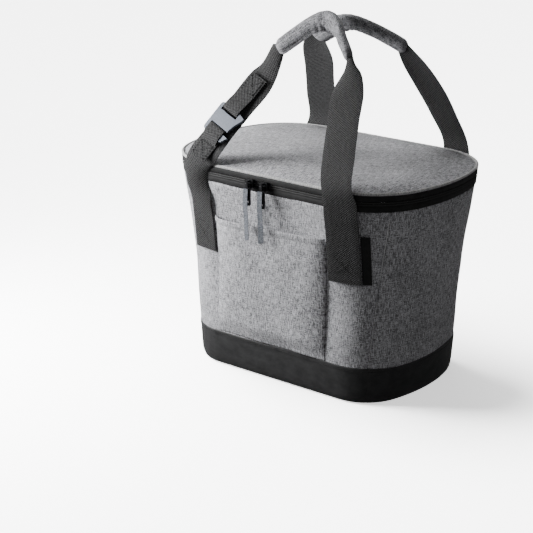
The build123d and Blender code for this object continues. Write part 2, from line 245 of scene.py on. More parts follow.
def plain_cloth(name, dark, light, pitch=0.9, rough=0.6):
    """A close, dark weave: the boot, the tapes and the tag."""
    material, tree, shader = new_material(name)
    weave = threads(tree, pitch, pitch)
    soft = noise_at(tree, cloth_place(tree, (14.0, 9.0)), 3.0, 0.6)
    mixed = maths(tree, "ADD", maths(tree, "MULTIPLY", weave, 0.3), maths(tree, "MULTIPLY", soft, 0.7))
    tree.links.new(ramp(tree, mixed, [(0.3, dark), (0.7, light)]), shader.inputs["Base Color"])
    shader.inputs["Roughness"].default_value = rough
    shader.inputs["Specular IOR Level"].default_value = 0.2
    bump(tree, shader, mixed, 0.5, 0.0004)
    return material


def solid_finish(name, colour, rough, metal=0.0, grain=0.35, size=(220, 220, 220)):
    """Metal, plastic or film, with a fine uneven grain."""
    material, tree, shader = new_material(name)
    place = node(tree, "TexCoord").outputs["Object"]
    place = node(tree, "VectorMath", {0: place, 1: size}, operation="MULTIPLY").outputs[0]
    fine = noise_at(tree, place, 4.0, 0.6)
    low, high = tuple(c * 0.82 for c in colour), tuple(min(1.0, c * 1.15) for c in colour)
    tree.links.new(ramp(tree, fine, [(0.3, low), (0.7, high)]), shader.inputs["Base Color"])
    spread = node(tree, "MapRange", {"Value": fine, "To Min": rough - 0.08, "To Max": rough + 0.08})
    tree.links.new(spread.outputs[0], shader.inputs["Roughness"])
    shader.inputs["Metallic"].default_value = metal
    bump(tree, shader, fine, grain, 0.0002)
    return material


def white_floor():
    """A bright studio floor that lights the bag much less than it looks."""
    material, tree, shader = new_material("floor")
    shader.inputs["Roughness"].default_value = 1.0
    shader.inputs["Specular IOR Level"].default_value = 0.0
    shader.inputs["Emission Color"].default_value = (1, 1, 1, 1)
    seen = node(tree, "LightPath").outputs["Is Camera Ray"]
    glow = node(tree, "MapRange", {"Value": seen, "To Min": 0.08, "To Max": 1.1})
    tree.links.new(glow.outputs[0], shader.inputs["Emission Strength"])
    colour = ramp(tree, seen, [(0, (0.02, 0.02, 0.02)), (1, (0.9, 0.9, 0.9))])
    tree.links.new(colour, shader.inputs["Base Color"])
    return material


def make_materials():
    return {
        "heather_fabric": heather("heather_fabric", (0.13, 0.13, 0.138), (0.6, 0.6, 0.63)),
        "grip_fabric": heather("grip_fabric", (0.07, 0.07, 0.075), (0.35, 0.35, 0.37)),
        "piping": heather("piping", (0.3, 0.3, 0.3), (0.62, 0.62, 0.62)),
        "boot_fabric": plain_cloth("boot_fabric", (0.022, 0.022, 0.0225), (0.046, 0.046, 0.047), 1.4, 0.45),
        "zip_tape": plain_cloth("zip_tape", (0.006, 0.006, 0.006), (0.028, 0.028, 0.029), 1.0, 0.7),
        "woven_tag": plain_cloth("woven_tag", (0.008, 0.008, 0.008), (0.02, 0.02, 0.021), 0.6, 0.5),
        "webbing": ribbed("webbing", (0.004, 0.004, 0.004), (0.085, 0.085, 0.0865), 2.9, 2.4),
        "pull_ribbon": ribbed("pull_ribbon", (0.06, 0.067, 0.08), (0.36, 0.38, 0.42), 1.6, 1.4),
        "zip_coil": solid_finish("zip_coil", (0.012, 0.012, 0.0125), 0.7),
        "zip_metal": solid_finish("zip_metal", (0.025, 0.025, 0.027), 0.32, 0.7),
        "buckle_metal": solid_finish("buckle_metal", (0.13, 0.145, 0.175), 0.42, 0.35, 0.5, (900, 900, 900)),
        "wire": solid_finish("wire", (0.6, 0.6, 0.6), 0.3, 1.0),
        "board": solid_finish("board", (0.05, 0.05, 0.05), 0.6),
        "foam": solid_finish("foam", (0.8, 0.8, 0.8), 0.9, 0.0, 0.8),
        "lining": solid_finish("lining", (0.55, 0.56, 0.58), 0.38, 0.25, 0.5, (60, 60, 60)),
        "thread": solid_finish("thread", (0.006, 0.006, 0.006), 0.8),
        "pale_thread": solid_finish("pale_thread", (0.36, 0.36, 0.38), 0.7),
        "floor": white_floor(),
    }


materials = make_materials()


# ---- meshes -------------------------------------------------------------------------------------


SHARP = math.radians(58)  # a turn sharper than this shows as an edge


def surface(name, points, cloth, wrap=False, caps=(False, False)):
    """A mesh from a grid of points. With wrap its columns close on themselves, and cloth has one column more.
    cloth is each grid corner's place in the cloth. caps says whether to close the first and the last row."""
    rows, columns = points.shape[:2]
    steps = columns if wrap else columns - 1
    r, c = (a.ravel() for a in np.meshgrid(np.arange(rows - 1), np.arange(steps), indexing="ij"))
    d = (c + 1) % columns
    faces = np.stack([r * columns + c, r * columns + d, (r + 1) * columns + d, (r + 1) * columns + c], axis=1)
    corners = np.stack([cloth[r, c], cloth[r, c + 1], cloth[r + 1, c + 1], cloth[r + 1, c]], axis=1)
    faces, corners = faces.tolist(), corners.reshape(-1, 2)
    if caps[0]:
        faces.append(list(range(columns))[::-1])
        corners = np.concatenate([corners, cloth[0, :columns][::-1]])
    if caps[1]:
        faces.append(list(range((rows - 1) * columns, rows * columns)))
        corners = np.concatenate([corners, cloth[-1, :columns]])
    mesh = bpy.data.meshes.new(name)
    mesh.from_pydata((points.reshape(-1, 3) * MM).tolist(), [], faces)
    mesh.uv_layers.new(name="cloth").data.foreach_set("uv", (corners * MM).astype(np.float32).ravel())
    mesh.shade_smooth()
    mesh.set_sharp_from_angle(angle=SHARP)
    obj = bpy.data.objects.new(name, mesh)
    bpy.context.scene.collection.objects.link(obj)
    return obj


def thicken(obj, thickness, inward=True):
    """Gives a sheet its thickness, on the side away from its normals."""
    made = obj.modifiers.new("thickness", "SOLIDIFY")
    made.thickness, made.offset = thickness * MM, -1 if inward else 1
    return obj


def dress(obj, slot, body, material=None, replaces=()):
    obj.data.materials.clear()
    obj.data.materials.append(materials[material or slot])
    if body:
        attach(obj, body)
    if replaces:
        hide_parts(*replaces)
    return obj


def fold_down(obj):
    """Gives a piece of the wall its own copy of its mesh. It does not flatten the piece as the bag folds down."""
    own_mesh(obj)


def unit(v):
    return v / np.maximum(np.linalg.norm(v, axis=-1, keepdims=True), 1e-9)


def running(points):
    """The distance along a line of points."""
    return np.concatenate([[0], np.cumsum(np.linalg.norm(np.diff(points, axis=0), axis=1))])


def through(keys, count):
    """A smooth line through keys, which may hold more than three numbers each: Catmull-Rom by distance."""
    keys = np.array(keys, float)
    at = running(keys[:, :3])
    slope = np.gradient(keys, at, axis=0)
    t = np.linspace(0, at[-1], count)
    i = np.clip(np.searchsorted(at, t, side="right") - 1, 0, len(keys) - 2)
    h = (at[i + 1] - at[i])[:, None]
    u = ((t - at[i])[:, None]) / h
    a, b, c, d = 2 * u**3 - 3 * u**2 + 1, u**3 - 2 * u**2 + u, 3 * u**2 - 2 * u**3, u**3 - u**2
    return a * keys[i] + b * h * slope[i] + c * keys[i + 1] + d * h * slope[i + 1]


def ripple(points, ways, size, amount, seed=0.0):
    """Moves points in or out along ways by a smooth noise."""
    flat = points.reshape(-1, 3)
    moves = np.array([noise.noise(Vector((p[0] / size + seed, p[1] / size, p[2] / size))) for p in flat])
    return points + ways * (moves * amount).reshape(points.shape[:-1])[..., None]


# ---- the wall's shape ---------------------------------------------------------------------------


def lerp(pair, z):
    return pair[0] + (pair[1] - pair[0]) * z / RIM_HEIGHT


def corner_of(z):
    """The front right corner's centre and radius, and the angle where the bowed end takes over."""
    radius = lerp(CORNER, z)
    across = lerp(HALF_DEPTH, z) - radius
    reach = np.sqrt((END_BOW - radius) ** 2 - across**2)
    return lerp(HALF_LENGTH, z) - END_BOW + reach, across, radius, np.arctan2(across, reach)


_cx, _cy, _radius, _turn = corner_of(RIM_HEIGHT)
FLAT = float(_cx)  # half of the straight front
BEND = float(_radius * (math.pi / 2 - _turn))  # a corner, round the rim
END = float(END_BOW * _turn)  # half of a bowed end
ROUND = 4 * (FLAT + BEND + END)  # once round the rim


def skin(q, z):
    """The plain wall: its points and the ways out of it. q goes round the rim from the middle of the front,
    to the right first."""
    q, z = np.broadcast_arrays(np.asarray(q, float) % ROUND, np.asarray(z, float))
    quarter = np.minimum((q // (ROUND / 4)).astype(int), 3)
    d = np.choose(quarter, [q, ROUND / 2 - q, q - ROUND / 2, ROUND - q])
    sx, sy = np.choose(quarter, [1, 1, -1, -1]), np.choose(quarter, [-1, 1, 1, -1])
    cx, cy, radius, turn = corner_of(z)
    share = np.clip((d - FLAT) / BEND, 0, 1)
    cornered = d < FLAT + BEND
    angle = np.where(cornered, math.pi / 2 - share * (math.pi / 2 - turn), turn * (ROUND / 4 - d) / END)
    ring = np.where(cornered, radius, END_BOW)
    x0 = np.where(cornered, np.where(d < FLAT, d * cx / FLAT, cx), lerp(HALF_LENGTH, z) - END_BOW)
    y0 = np.where(cornered, cy, 0.0)
    nx, ny = np.cos(angle), np.sin(angle)
    points = np.stack([sx * (x0 + ring * nx), sy * (y0 + ring * ny), z], axis=-1)
    ways = np.stack([sx * nx, sy * ny, np.zeros_like(nx)], axis=-1)
    return points, ways


def q_at(x, z):
    """How far round the front a point with that x is, from the middle."""
    cx, _, radius, turn = corner_of(z)
    angle = np.arcsin(np.clip((np.abs(x) - cx) / radius, 0, 1))
    d = np.where(np.abs(x) < cx, np.abs(x) * FLAT / cx, FLAT + angle / (math.pi / 2 - turn) * BEND)
    return np.sign(x) * d


DENT_X, DENT_Z = 16.0, 203.0  # a soft hollow over the pocket, where the front is pulled by the straps


def sag(points, z):
    """How far the soft wall stands in from the plain one."""
    level = np.clip(z / WALL_TOP, 0, 1)
    hollow = 3.6 * np.sin(math.pi * level**1.25)
    front = points[..., 1] < 0
    near = np.exp(-(((points[..., 0] - DENT_X) / 22) ** 2) - ((z - DENT_Z) / 13) ** 2)
    return hollow + np.where(front, 2.6 * near, 0)


def wall(q, z, out=0.0):
    """Points out from the soft wall by a distance, and the ways out."""
    points, ways = skin(q, z)
    stand = np.broadcast_to(out, points.shape[:-1]) - sag(points, points[..., 2])
    return points + ways * stand[..., None], ways


def on_wall(x, z, side, out):
    """One point on the front (side -1) or back wall, the way out and the way along to the right of it."""
    q = q_at(x, z)
    point, way = wall(q if side < 0 else ROUND / 2 - q, z, out)
    return point, way, np.cross((0, 0, 1), way)


def seam_q(z):
    """How far round the rim the front's right side seam is, from the middle of the front."""
    return float(q_at(SEAM_AT_TOP - SEAM_SLOPE * (WALL_TOP - z), z))


# ---- wall panels, foam and lining ---------------------------------------------------------------

EDGE_STEPS = np.array([0.0, 0.5, 1.1, 2.0, 3.4, 6.0])
SEAM_DEPTH, SEAM_ROLL = 2.4, 1.5  # how deep a panel's edge turns in, and how far from it
WRINKLE, WRINKLE_SIZE = 1.1, 46.0  # the wall's slow unevenness, and how long its waves are


def toward_edges(length, count):
    """Places from 0 to length, evenly spread but close together at both ends."""
    inner = np.linspace(EDGE_STEPS[-1], length - EDGE_STEPS[-1], count)
    return np.concatenate([EDGE_STEPS[:-1], inner, (length - EDGE_STEPS[:-1])[::-1]])


def panel(name, start, length, count):
    """One outer panel, from a place start(z) round the rim and as long as length(z)."""
    z = np.concatenate([[36.0, 40.0], np.linspace(44, 214, 62), [217.0, 221.0]])
    rows, dents = [], []
    for level in z:
        full = float(length(level))
        steps = toward_edges(full, count)
        rows.append(start(level) + steps)
        dents.append(np.minimum(steps, full - steps))
    q, near = np.array(rows), np.array(dents)
    roll = -SEAM_DEPTH * np.exp(-((near / SEAM_ROLL) ** 2))
    points, ways = wall(q, z[:, None], roll)
    points = ripple(points, ways, WRINKLE_SIZE, WRINKLE)
    cloth = np.stack([q, np.broadcast_to(z[:, None], q.shape)], axis=-1)
    piece = thicken(surface(f"{name}_wall", points, cloth), 1.1)
    dress(piece, "heather_fabric", "base", replaces=(f"{name}_panel",))
    fold_down(piece)


def make_walls():
    for name, middle in (("front", 0.0), ("back", ROUND / 2)):
        panel(name, lambda z, m=middle: m - seam_q(z), lambda z: 2 * seam_q(z), 96)
    for name, middle in (("right", 0.0), ("left", ROUND / 2)):
        panel(name, lambda z, m=middle: m + seam_q(z), lambda z: ROUND / 2 - 2 * seam_q(z), 60)


def loop_cloth(q, heights):
    """Places in the cloth for a piece that goes once round: q gets its last column again."""
    closed = np.append(q, q[-1] + (q[-1] - q[-2]))
    return np.stack(np.meshgrid(closed, heights), axis=-1)


def skin_out(q, z, out):
    """Points out from the plain wall by a distance, and the ways out."""
    points, ways = skin(q, z)
    return points + ways * np.broadcast_to(out, points.shape[:-1])[..., None], ways


def weld(obj, distance=0.01):
    made = obj.modifiers.new("weld", "WELD")
    made.merge_threshold = distance * MM


def hoop(name, profile, slot, body, count, replaces, span=None, teeth=None):
    """A strip carried round the plain wall's outline. profile is its closed section, as rows of (out, z); span
    cuts it short. Where teeth are given as teeth(q), a third number says how much a place moves with them."""
    profile = np.array(profile, float)
    closed = span is None
    q = np.arange(count + 1) * ROUND / count if closed else np.linspace(*span, count)
    outs = profile[None, :, 0]
    if teeth:
        outs = outs + teeth(q)[:, None] * profile[None, :, 2]
    points, _ = skin_out(q[:, None], profile[None, :, 1], outs)
    along = running(np.c_[profile[:, :2], np.zeros(len(profile))])
    loop = np.append(along, along[-1] + np.linalg.norm(profile[0, :2] - profile[-1, :2]))
    cloth = np.stack(np.meshgrid(q, loop, indexing="ij"), axis=-1)
    piece = surface(name, points, cloth, wrap=True, caps=(not closed, not closed))
    if closed:
        weld(piece)
    return dress(piece, slot, body, replaces=replaces)


def rounded_strip(low, high, out, thickness, crown=0.0, steps=6):
    """A flat band's section with round edges: from low to high, its outer face at out, bulging by crown."""
    z = np.linspace(low, high, steps)
    t = np.linspace(-1, 1, steps)
    face = [(out + crown * (1 - a * a), b) for a, b in zip(t, z)]
    face[0] = (out - 0.35 * thickness, low)
    face[-1] = (out - 0.35 * thickness, high)
    back = [(out - thickness, b) for b in z[::-1]]
    return face + back


def make_boot():
    q = np.arange(400) * ROUND / 400
    profile = [
        (14.0, 0.5), (9.0, 0.35), (5.0, 0.3), (2.8, 0.7), (1.2, 1.9), (0.2, 4.2), (-0.5, 8.0), (-0.8, 14.0),
        (-0.9, 21.0), (-0.9, 28.0), (-0.9, 33.5), (-0.75, 35.4), (-0.9, 37.0), (-1.0, 40.2), (-0.9, 41.6),
        (-0.3, 42.2), (0.5, 41.8),
    ]
    seams = [seam_q(30) * s + m for m in (0, ROUND / 2) for s in (-1, 1)]
    gap = np.min([np.abs((q - s + ROUND / 2) % ROUND - ROUND / 2) for s in seams], axis=0)
    groove = 0.8 * np.exp(-((gap / 1.6) ** 2))
    insets, heights = np.array(profile).T
    wave = 0.9 * np.sin(q / ROUND * 2 * math.pi * 3 + 0.6) + 0.5 * np.sin(q / ROUND * 2 * math.pi * 8)
    rise = np.clip((heights - 20) / 20, 0, 1)
    z = heights[:, None] + rise[:, None] * wave[None, :]
    points, ways = wall(q[None, :], z, -(insets[:, None] + groove[None, :] * (insets < 3)[:, None]))
    points = ripple(points, ways, 40.0, 0.8, 3.0)
    along = running(np.c_[np.array(profile), np.zeros(len(profile))])
    piece = thicken(surface("boot_shell", points, loop_cloth(q, along), wrap=True), 1.0)
    dress(piece, "boot_fabric", "base", replaces=("boot",))
    fold_down(piece)
    line, out = wall(np.linspace(-ROUND / 2, ROUND / 2, 500), 38.6, 1.2)
    fold_down(stitches("boot_thread", line, out, "base", "thread", 3.4, 2.4, 0.4))

    rings = [1.0, 0.93, 0.8, 0.6, 0.3, 0.02]
    edge, _ = wall(q, 0.0, -12.0)
    sheet = np.stack([edge * (s, s, 0) + (0, 0, 0.55 + 0.5 * (1 - s)) for s in rings])
    flat = np.concatenate([sheet[..., :2], sheet[:, :1, :2]], axis=1)
    under = thicken(surface("base_sheet", sheet, flat, wrap=True), 0.4, inward=False)
    dress(under, "boot_fabric", "base", replaces=("base_panel",))


def layer(name, inset, thickness, low, high, slot, replaces, span=None):
    """A hidden or inner layer of the wall, which follows the soft outside. span cuts it short."""
    closed = span is None
    q = np.arange(260) * ROUND / 260 if closed else np.linspace(*span, 90)
    z = np.linspace(low, high, 34)
    points, ways = wall(q[None, :], z[:, None], -inset)
    points = ripple(points, ways, WRINKLE_SIZE, WRINKLE)
    cloth = loop_cloth(q, z) if closed else np.stack(np.meshgrid(q, z), axis=-1)
    piece = thicken(surface(name, points, cloth, wrap=closed), thickness)
    dress(piece, slot, "base", replaces=(replaces,))
    fold_down(piece)


def make_inside():
    half = seam_q(130)
    seams = [-half, half, ROUND / 2 - half, ROUND / 2 + half, ROUND - half]
    for name, start, end in zip(("front", "right", "back", "left"), seams, seams[1:]):
        layer(
            f"{name}_padding", inset=2.2, thickness=4.6, low=5.2, high=214.0, slot="foam",
            replaces=f"{name}_foam", span=(start + 1, end - 1),
        )
    layer(
        "lining_wall", inset=7.3, thickness=0.6, low=11.6, high=219.5, slot="lining",
        replaces="liner_wall",
    )


# ---- strips, thread and discs -------------------------------------------------------------------


def band(name, centre, across, width, thickness, curl=0.0, steps=9, caps=(True, True)):
    """A flat strip along a line of centres. Curl, in radians, cups its section with the middle outward."""
    values = [np.broadcast_to(v, len(centre)).astype(float)[:, None] for v in (width, thickness, curl)]
    width, thickness, curl = values
    along = unit(np.gradient(centre, axis=0))
    across = unit(across)
    out = unit(np.cross(across, along))
    t = np.linspace(-1, 1, steps)[None, :]
    place = t * width / 2
    bend = np.where(np.abs(curl) < 1e-3, 1e-3, curl)
    radius = width / bend
    side = radius * np.sin(place / radius)
    rise = radius * (np.cos(place / radius) - 1)
    half = thickness / 2 * np.where(np.abs(t) > 0.999, 0.45, 1.0)
    aside = np.concatenate([side, side[:, ::-1]], axis=1)
    up = np.concatenate([rise + half, (rise - half)[:, ::-1]], axis=1)
    points = centre[:, None, :] + across[:, None, :] * aside[..., None] + out[:, None, :] * up[..., None]
    steps_across = np.concatenate([place, width - place[:, ::-1]], axis=1)
    cloth_x = np.concatenate([steps_across, steps_across[:, :1] + 2 * width], axis=1)
    cloth_y = np.broadcast_to(running(centre)[:, None], cloth_x.shape)
    return surface(name, points, np.stack([cloth_x, cloth_y], axis=-1), wrap=True, caps=caps)


def place_on(line, at, distance):
    """Where a line of points is at a distance along it; at holds each point's own distance."""
    return np.array([np.interp(distance, at, line[:, k]) for k in range(3)])


def stitches(name, line, ways, body, material="thread", pitch=3.4, length=2.8, radius=0.5):
    """A row of stitches along a line of points, each standing a little out along its way."""
    at = running(line)
    centres = np.arange(pitch / 2, at[-1], pitch)
    points, faces = [], []
    for middle in centres:
        ends = [place_on(line, at, middle + s * length / 2) for s in (-1, 1)]
        way = unit(place_on(ways, at, middle))
        side = unit(np.cross(ends[1] - ends[0], way)) * radius
        mid = (ends[0] + ends[1]) / 2
        top = mid + way * radius * 1.3
        n = len(points)
        points += [ends[0], mid + side, ends[1], mid - side, top]
        faces += [(n, n + 1, n + 4), (n + 1, n + 2, n + 4), (n + 2, n + 3, n + 4), (n + 3, n, n + 4)]
        faces += [(n, n + 3, n + 2, n + 1)]
    mesh = bpy.data.meshes.new(name)
    mesh.from_pydata((np.array(points) * MM).tolist(), [], faces)
    mesh.uv_layers.new(name="cloth")
    obj = bpy.data.objects.new(name, mesh)
    bpy.context.scene.collection.objects.link(obj)
    return dress(obj, "webbing", body, material)


def disc(name, rows, slot, body, replaces, count=220, seed=0.0, amount=0.0):
    """A closed pad or sheet with the bag's outline. Each row is (inset, height, share of the outline)."""
    q = np.arange(count) * ROUND / count
    rings = []
    for inset, z, share in rows:
        ring, _ = skin_out(q, min(z, RIM_HEIGHT), -inset)
        rings.append(np.c_[ring[:, :2] * share, np.full(count, z)])
    points = np.stack(rings)
    if amount:
        points = ripple(points, np.array([0.0, 0.0, 1.0]), 60.0, amount, seed)
    cloth = np.concatenate([points[..., :2], points[:, :1, :2]], axis=1)
    piece = surface(name, points, cloth, wrap=True, caps=(True, True))
    return dress(piece, slot, body, replaces=replaces)


# ---- ribbons on the zip's pulls -----------------------------------------------------------------

RIBBON_WIDTH, RIBBON = 6.2, 1.1
RIBBON_ASIDE = 1.6  # from a slider's middle to its ribbon's, to the left
SLIDER_HALF = 3.2  # from a pull's left side to its slider's middle
SLANT = 0.35  # of the ribbon's cut end
RIBBON_ROUTE = [(0, 0, 0), (-0.8, -0.3, -15), (-0.1, 0.2, -30), (1.0, -0.1, -44), (1.2, 0.1, -58)]


def route_line(name, points):
    """A smooth line steered by the route's points, read from a NURBS curve."""
    curve = bpy.data.curves.new(name, "CURVE")
    curve.dimensions = "3D"
    curve.resolution_u = 10
    spline = curve.splines.new("NURBS")
    spline.points.add(len(points) - 1)
    for made, point in zip(spline.points, points):
        made.co = (*point, 1)
    spline.order_u = 3
    spline.use_endpoint_u = True
    holder = bpy.data.objects.new(name, curve)
    mesh = bpy.data.meshes.new_from_object(holder)
    line = np.array([v.co[:] for v in mesh.vertices])
    bpy.data.objects.remove(holder)
    bpy.data.meshes.remove(mesh)
    return line


def make_ribbons():
    for word, turn in (("left", -0.25), ("right", 0.35)):
        low, high = (np.array(c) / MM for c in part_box(f"ribbon_{word}"))
        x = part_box(f"pull_{word}")[0].x / MM + SLIDER_HALF - RIBBON_ASIDE
        start = np.array([x, (low[1] + high[1]) / 2 + 0.05, high[2]])
        line = route_line(f"route_{word}", [tuple(start + p) for p in np.array(RIBBON_ROUTE, float)])
        angle = turn * np.linspace(0, 1, len(line)) ** 0.7
        across = np.stack([np.cos(angle), np.sin(angle) * 0.6, np.zeros_like(angle)], axis=1)
        piece = band(f"ribbon_band_{word}", line, across, RIBBON_WIDTH, RIBBON, 0.5, 7)
        end = line[-1]
        for vertex in piece.data.vertices:
            if vertex.co.z / MM < end[2] + 0.6:
                vertex.co.z += (vertex.co.x / MM - end[0] + RIBBON_WIDTH / 2) * SLANT * MM
        dress(piece, "pull_ribbon", f"{word}_pull", replaces=(f"ribbon_{word}",))
        sewn = end + np.array([(-2.0, -0.85, 7.0), (2.2, -0.85, 8.0)])
        ahead = np.array([[0, -1.0, 0]] * 2)
        stitches(f"ribbon_thread_{word}", sewn, ahead, f"{word}_pull", "thread", 1.5, 1.3, 0.3)


# ---- pocket -------------------------------------------------------------------------------------

# The top edge as (x, z), and the side seams as (z, x).
POCKET_LOW, POCKET_HIGH = 43.0, 182.0
POCKET_TOP_LINE = [
    (-84, 182.6), (-64, 180.4), (-45, 181.0), (-25, 181.6), (12, 182.4), (50, 184.4), (84, 185.0),
]
POCKET_LEFT = [(43, -82.0), (79, -79.5), (139, -75.6), (182, -75.0)]
POCKET_RIGHT = [(43, 68.0), (79, 69.5), (115, 72.0), (156, 74.6), (182, 75.5)]
HEM = 7.0


def between(table, at):
    keys = np.array(table, float)
    return np.interp(at, keys[:, 0], keys[:, 1])


def pocket_skin(u, v):
    """The pocket's outside. u goes from -1 at its left seam to 1 at its right, v from 0 at its foot to 1 at
    its top. Gives the points, the ways out, and their x and z."""
    z = POCKET_LOW + v * (POCKET_HIGH - POCKET_LOW)
    left, right = between(POCKET_LEFT, z), between(POCKET_RIGHT, z)
    x = (left + right) / 2 + u * (right - left) / 2
    z = POCKET_LOW + v * (between(POCKET_TOP_LINE, x) - POCKET_LOW)
    side = np.maximum(1 - np.abs(u) ** 5.0, 0) ** 0.7
    foot = np.sin(np.clip(v / 0.15, 0, 1) * math.pi / 2)
    swell = 0.9 * np.exp(-(((u + 0.35) / 0.3) ** 2) - ((v - 0.45) / 0.35) ** 2)
    slump = 1.1 * np.exp(-(((u - 0.25) / 0.35) ** 2) - ((v - 1.0) / 0.12) ** 2)
    depth = 1.2 + 6.6 * side * foot * (0.45 + 0.55 * foot) + swell - slump
    points, ways = wall(q_at(x, z), z, depth)
    return points, ways, x, z


def make_pocket():
    u = np.concatenate([[-1, -0.995, -0.985], np.linspace(-0.97, 0.97, 84), [0.985, 0.995, 1]])
    u, v = np.meshgrid(u, np.linspace(0, 1, 90))
    points, ways, x, z = pocket_skin(u, v)
    points = ripple(points, ways * (1 - u**8)[..., None], 34.0, 1.3, 7.0)
    top = between(POCKET_TOP_LINE, x)
    hem = 0.9 * (top - z < HEM) - 1.0 * np.exp(-(((top - z - HEM) / 0.9) ** 2))
    points = points + ways * hem[..., None]
    shell = thicken(surface("pocket_shell", points, np.stack([x, z], axis=-1)), 1.1)
    dress(shell, "heather_fabric", "base", replaces=("front_pocket", "pocket_hem"))
    fold_down(shell)
    up = np.linspace(0.02, 0.985, 60)
    under_hem = np.full(60, 1 - HEM / (POCKET_HIGH - POCKET_LOW))
    rows = {
        "hem": (np.linspace(-0.97, 0.97, 60), under_hem),
        "left": (np.full(60, -0.972), up),
        "right": (np.full(60, 0.972), up),
    }
    for name, (u, v) in rows.items():
        line, out, _, _ = pocket_skin(u, v)
        fold_down(stitches(
            f"pocket_{name}_thread", line + out * 0.35, out, "base", "pale_thread", 3.0, 2.2, 0.3
        ))


# ---- zip, rim and lid ---------------------------------------------------------------------------

TOOTH, TOOTH_DEPTH = 1.5, 0.16
TAPE, TAPE_OUT, TAPE_CROWN = 1.2, 0.1, 0.3
PIPING = 1.7
CROWN_LOW, CROWN_RISE, CROWN_WIDE = 240.2, 6.8, 48.0  # the lid's crowned edge: its foot, rise and width
LID_INSET = 2.2
COVER = 1.2


def coil(name, strip, body, replaces):
    """One side of the zip: a ridge with a tooth every TOOTH, open at the back where the lid is sewn on."""
    low, high = strip
    reach = ROUND / 2 - float(q_at(ZIP_END, ZIP_HEIGHT))
    middle, half = (low + high) / 2, (high - low) / 2
    turn = np.linspace(0, 2 * math.pi, 8, endpoint=False)
    waves = [(math.sin(a), math.cos(a)) for a in turn]
    profile = [(0.1 + 0.5 * sine, middle + half * cosine, 0.5 + 0.5 * sine) for sine, cosine in waves]
    hoop(
        name, profile, "zip_coil", body, 2400, (replaces,), (-reach, reach),
        lambda q: TOOTH_DEPTH * np.sin(q * 2 * math.pi / TOOTH),
    )


def make_rim():
    tape = rounded_strip(*LOWER_TAPE, TAPE_OUT, TAPE, TAPE_CROWN)
    hoop("rim_lower_tape", tape, "zip_tape", "rim", 420, ("lower_tape",))
    hoop("rim_binding", rounded_strip(220.4, 229.2, -1.5, 4.8, 0.0, 4), "zip_tape", "rim", 300, ("rim_hem",))
    coil("lower_teeth", LOWER_COIL, "rim", "lower_coil")
    q = np.linspace(-ROUND / 2 + 70, ROUND / 2 - 70, 400)
    line, ways = skin_out(q, 221.6, 0.35)
    stitches("rim_thread", line, ways, "rim", "thread", 3.2, 2.3, 0.3)


def lid_rows():
    """The lid's cover, from the middle of its outside, over its edge, to the middle of its underside."""
    shares = (0.04, 0.1, 0.18, 0.28, 0.4, 0.55, 0.72, 0.88, 1.0)
    edge = [(LID_INSET, 239.6, 1)]
    for share in shares:
        height = CROWN_LOW + CROWN_RISE * math.sin(share * math.pi / 2) ** 0.85
        edge.append((LID_INSET + CROWN_WIDE * share, height, 1))
    inner, flat, _ = edge[-1]
    inward = [1 - k / 5 for k in range(1, 5)]
    over = [(inner, flat + 1.25 * (1 - share), share) for share in inward]
    outside = [(inner, flat + 1.2, 0.01)] + over[::-1] + edge[::-1] + [(2.6, 238.9, 1)]
    under = [(inset + 0.4, z - COVER, 1) for inset, z, _ in edge[2:9:2]]
    under += [(50, flat - COVER, share) for share in [1] + inward]
    return outside + under + [(50, flat - 1.0, 0.01)]


def make_lid():
    tape = rounded_strip(*UPPER_TAPE, TAPE_OUT, TAPE, TAPE_CROWN)
    hoop("lid_upper_tape", tape, "zip_tape", "lid", 420, ("upper_tape",))
    coil("upper_teeth", UPPER_COIL, "lid", "upper_coil")
    turn = np.linspace(0, 2 * math.pi, 12, endpoint=False)
    profile = [(-1.2 + PIPING * math.cos(a), 239.9 + PIPING * math.sin(a)) for a in turn]
    hoop("lid_binding", profile, "piping", "lid", 420, ("lid_piping",))
    disc("lid_cover", lid_rows(), "heather_fabric", "lid", ("lid_top",), amount=1.2, seed=5.0)
    pad = [(40, 232.8, 0.01), (4.5, 232.9, 1), (3.7, 234, 1), (3.7, 236.5, 1), (4.6, 238, 1), (30, 241.5, 1)]
    disc("lid_padding", pad + [(60, 243.5, 0.01)], "foam", "lid", ("lid_foam",))
    film = [(40, 231.8, 0.01), (20, 231.75, 1), (2.0, 231.9, 1)]
    film += [(1.7, 232.3, 1), (20, 232.45, 1), (40, 232.4, 0.01)]
    disc("lid_lining", film, "lining", "lid", ("lid_liner",))
    reach = float(q_at(ZIP_END, ZIP_HEIGHT)) + 4
    strip = hoop(
        "hinge_strip", rounded_strip(223.5, 235.5, 0.75, 0.7, 0.0, 18), "zip_tape", None, 60,
        ("hinge_tape",), (ROUND / 2 - reach, ROUND / 2 + reach),
    )
    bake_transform(strip)


def make_floor_layers():
    pad = [(60, 5.1, 0.01), (9.5, 5.1, 1), (8.0, 6.2, 1), (8.0, 9.8, 1), (9.5, 10.8, 1), (60, 10.9, 0.01)]
    disc("base_padding", pad, "foam", "base", ("base_foam",))
    film = [(60, 11.3, 0.01), (9.0, 11.2, 1), (8.4, 11.5, 1), (9.0, 12.0, 1), (60, 12.1, 0.01)]
    disc("floor_lining", film, "lining", "base", ("liner_floor",))


# ---- handles ------------------------------------------------------------------------------------


def leaning(x, z, side):
    """A point in a handle's leaning plane, and the way out of that plane."""
    y = HALF_DEPTH[1] + FOLD_CLEARANCE + STRAP / 2 - (z - FOLD_HEIGHT) * math.tan(LEAN)
    return np.array([x, side * y, z]), np.array([0, side * math.cos(LEAN), math.sin(LEAN)])


